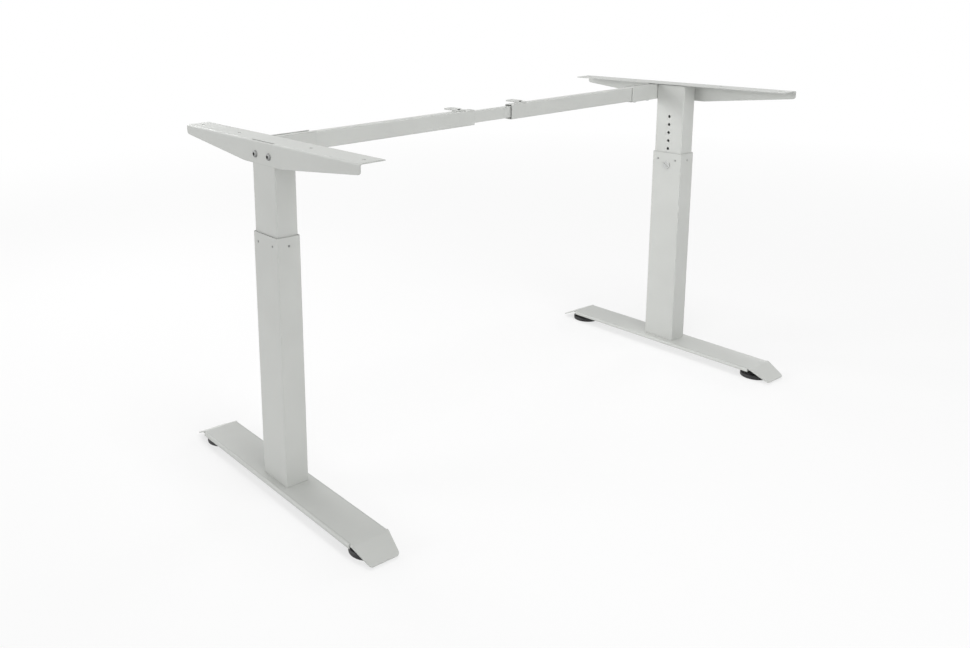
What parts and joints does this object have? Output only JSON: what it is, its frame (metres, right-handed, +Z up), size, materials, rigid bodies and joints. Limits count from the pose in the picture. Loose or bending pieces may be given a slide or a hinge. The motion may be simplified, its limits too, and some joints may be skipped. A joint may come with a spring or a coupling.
{
  "type": "desk frame",
  "caption": "Height and width adjustable steel desk frame: telescopic legs on folded feet with levelling glides, tabletop brackets and a telescopic crossbar.",
  "frame": {"origin": "floor level, midway between the two columns", "axes": "+Z up, +X along the crossbar from the left leg to the right leg, -Y towards the desk's front; the crossbar runs behind the columns on the +Y side"},
  "size_m": [1.254, 0.6034, 0.68],
  "materials": {
    "grey_powder_coat": "fine-textured satin powder coat, light grey",
    "painted_screw": "satin grey paint on a steel screw",
    "zinc_plated_steel": "bright zinc plating",
    "bracket_screw": "zinc plating, satin",
    "black_screw": "black oxide",
    "black_plastic": "matte moulded plastic",
    "grey_plastic": "matte moulded plastic",
    "white_nylon": "natural nylon"
  },
  "bodies": {
    "left_leg": {"left_foot": "grey_powder_coat", "left_foot_bolts": "zinc_plated_steel", "left_base_plug": "zinc_plated_steel", "left_outer_column": "grey_powder_coat", "left_column_liner": "grey_plastic", "left_lock_nut": "zinc_plated_steel", "left_front_nut": "zinc_plated_steel", "left_rear_nut": "zinc_plated_steel"},
    "left_upper": {"left_inner_column": "grey_powder_coat", "left_column_shoe": "grey_plastic", "left_bracket": "grey_powder_coat", "left_bracket_screws": "bracket_screw", "left_bracket_nuts": "zinc_plated_steel", "left_rail_holder": "grey_powder_coat", "left_holder_screws": "zinc_plated_steel", "left_nut_bar": "zinc_plated_steel", "left_outer_rail": "grey_powder_coat", "left_rail_lug": "grey_powder_coat", "left_rail_sleeve": "black_plastic"},
    "left_lock_pad": {"left_lock_pad": "white_nylon"},
    "left_lock_screw": {"left_lock_screw": "painted_screw"},
    "left_clamp_pad": {"left_clamp_pad": "white_nylon"},
    "left_clamp_screw": {"left_clamp_screw": "black_screw"},
    "left_front_glide": {"left_front_glide": "black_plastic"},
    "left_front_stud": {"left_front_stud": "zinc_plated_steel"},
    "left_rear_glide": {"left_rear_glide": "black_plastic"},
    "left_rear_stud": {"left_rear_stud": "zinc_plated_steel"},
    "right_leg": {"right_foot": "grey_powder_coat", "right_foot_bolts": "zinc_plated_steel", "right_base_plug": "zinc_plated_steel", "right_outer_column": "grey_powder_coat", "right_column_liner": "grey_plastic", "right_lock_nut": "zinc_plated_steel", "right_front_nut": "zinc_plated_steel", "right_rear_nut": "zinc_plated_steel"},
    "right_upper": {"right_inner_column": "grey_powder_coat", "right_column_shoe": "grey_plastic", "right_bracket": "grey_powder_coat", "right_bracket_screws": "bracket_screw", "right_bracket_nuts": "zinc_plated_steel", "right_rail_holder": "grey_powder_coat", "right_holder_screws": "zinc_plated_steel", "right_nut_bar": "zinc_plated_steel", "right_outer_rail": "grey_powder_coat", "right_rail_lug": "grey_powder_coat", "right_rail_sleeve": "black_plastic"},
    "right_lock_pad": {"right_lock_pad": "white_nylon"},
    "right_lock_screw": {"right_lock_screw": "painted_screw"},
    "right_clamp_pad": {"right_clamp_pad": "white_nylon"},
    "right_clamp_screw": {"right_clamp_screw": "black_screw"},
    "right_front_glide": {"right_front_glide": "black_plastic"},
    "right_front_stud": {"right_front_stud": "zinc_plated_steel"},
    "right_rear_glide": {"right_rear_glide": "black_plastic"},
    "right_rear_stud": {"right_rear_stud": "zinc_plated_steel"},
    "middle_rail": {"inner_rail": "grey_powder_coat", "inner_rail_plugs": "black_plastic"}
  },
  "joints": [
    {"name": "left_height", "type": "slide", "parent": "left_leg", "child": "left_upper", "axis": [0, 0, 1], "range_m": [-0.12, 0.16]},
    {"name": "left_width", "type": "slide", "parent": "left_upper", "child": "middle_rail", "axis": [1, 0, 0], "range_m": [-0.055, 0.25]},
    {"name": "right_width", "type": "slide", "parent": "middle_rail", "child": "right_upper", "axis": [1, 0, 0], "range_m": [-0.055, 0.25]},
    {"name": "right_height", "type": "slide", "parent": "right_upper", "child": "right_leg", "axis": [0, 0, -1], "range_m": [-0.12, 0.16]},
    {"name": "left_lock_travel", "type": "slide", "parent": "left_leg", "child": "left_lock_pad", "axis": [1, 0, 0], "range_m": [0, 0.0025]},
    {"name": "left_lock_turn", "type": "hinge", "parent": "left_lock_pad", "child": "left_lock_screw", "pos_m": [-0.561, 0, 0.48], "axis": [1, 0, 0], "range_deg": [0, 720]},
    {"name": "left_clamp_travel", "type": "slide", "parent": "left_upper", "child": "left_clamp_pad", "axis": [0, 0, 1], "range_m": [0, 0.002]},
    {"name": "left_clamp_turn", "type": "hinge", "parent": "left_clamp_pad", "child": "left_clamp_screw", "pos_m": [-0.092, 0.0496, 0.678], "axis": [0, 0, 1], "range_deg": [0, 720]},
    {"name": "left_front_level_travel", "type": "slide", "parent": "left_leg", "child": "left_front_glide", "axis": [0, 0, -1], "range_m": [0, 0.01]},
    {"name": "left_front_level_turn", "type": "hinge", "parent": "left_front_glide", "child": "left_front_stud", "pos_m": [-0.586, -0.25, 0.012], "axis": [0, 0, -1], "range_deg": [0, 2880]},
    {"name": "left_rear_level_travel", "type": "slide", "parent": "left_leg", "child": "left_rear_glide", "axis": [0, 0, -1], "range_m": [0, 0.01]},
    {"name": "left_rear_level_turn", "type": "hinge", "parent": "left_rear_glide", "child": "left_rear_stud", "pos_m": [-0.586, 0.25, 0.012], "axis": [0, 0, -1], "range_deg": [0, 2880]},
    {"name": "right_lock_travel", "type": "slide", "parent": "right_leg", "child": "right_lock_pad", "axis": [-1, 0, 0], "range_m": [0, 0.0025]},
    {"name": "right_lock_turn", "type": "hinge", "parent": "right_lock_pad", "child": "right_lock_screw", "pos_m": [0.561, 0, 0.48], "axis": [-1, 0, 0], "range_deg": [0, 720]},
    {"name": "right_clamp_travel", "type": "slide", "parent": "right_upper", "child": "right_clamp_pad", "axis": [0, 0, 1], "range_m": [0, 0.002]},
    {"name": "right_clamp_turn", "type": "hinge", "parent": "right_clamp_pad", "child": "right_clamp_screw", "pos_m": [0.092, 0.0496, 0.678], "axis": [0, 0, 1], "range_deg": [0, 720]},
    {"name": "right_front_level_travel", "type": "slide", "parent": "right_leg", "child": "right_front_glide", "axis": [0, 0, -1], "range_m": [0, 0.01]},
    {"name": "right_front_level_turn", "type": "hinge", "parent": "right_front_glide", "child": "right_front_stud", "pos_m": [0.586, -0.25, 0.012], "axis": [0, 0, -1], "range_deg": [0, 2880]},
    {"name": "right_rear_level_travel", "type": "slide", "parent": "right_leg", "child": "right_rear_glide", "axis": [0, 0, -1], "range_m": [0, 0.01]},
    {"name": "right_rear_level_turn", "type": "hinge", "parent": "right_rear_glide", "child": "right_rear_stud", "pos_m": [0.586, 0.25, 0.012], "axis": [0, 0, -1], "range_deg": [0, 2880]}
  ],
  "couplings": [
    {"joint": "right_height", "follows": "left_height", "ratio": 1},
    {"joint": "left_lock_turn", "follows": "left_lock_travel", "rad_per_m": 5026.5},
    {"joint": "left_clamp_turn", "follows": "left_clamp_travel", "rad_per_m": 6283.2},
    {"joint": "left_front_level_turn", "follows": "left_front_level_travel", "rad_per_m": 5026.5},
    {"joint": "left_rear_level_turn", "follows": "left_rear_level_travel", "rad_per_m": 5026.5},
    {"joint": "right_lock_turn", "follows": "right_lock_travel", "rad_per_m": 5026.5},
    {"joint": "right_clamp_turn", "follows": "right_clamp_travel", "rad_per_m": 6283.2},
    {"joint": "right_front_level_turn", "follows": "right_front_level_travel", "rad_per_m": 5026.5},
    {"joint": "right_rear_level_turn", "follows": "right_rear_level_travel", "rad_per_m": 5026.5}
  ]
}
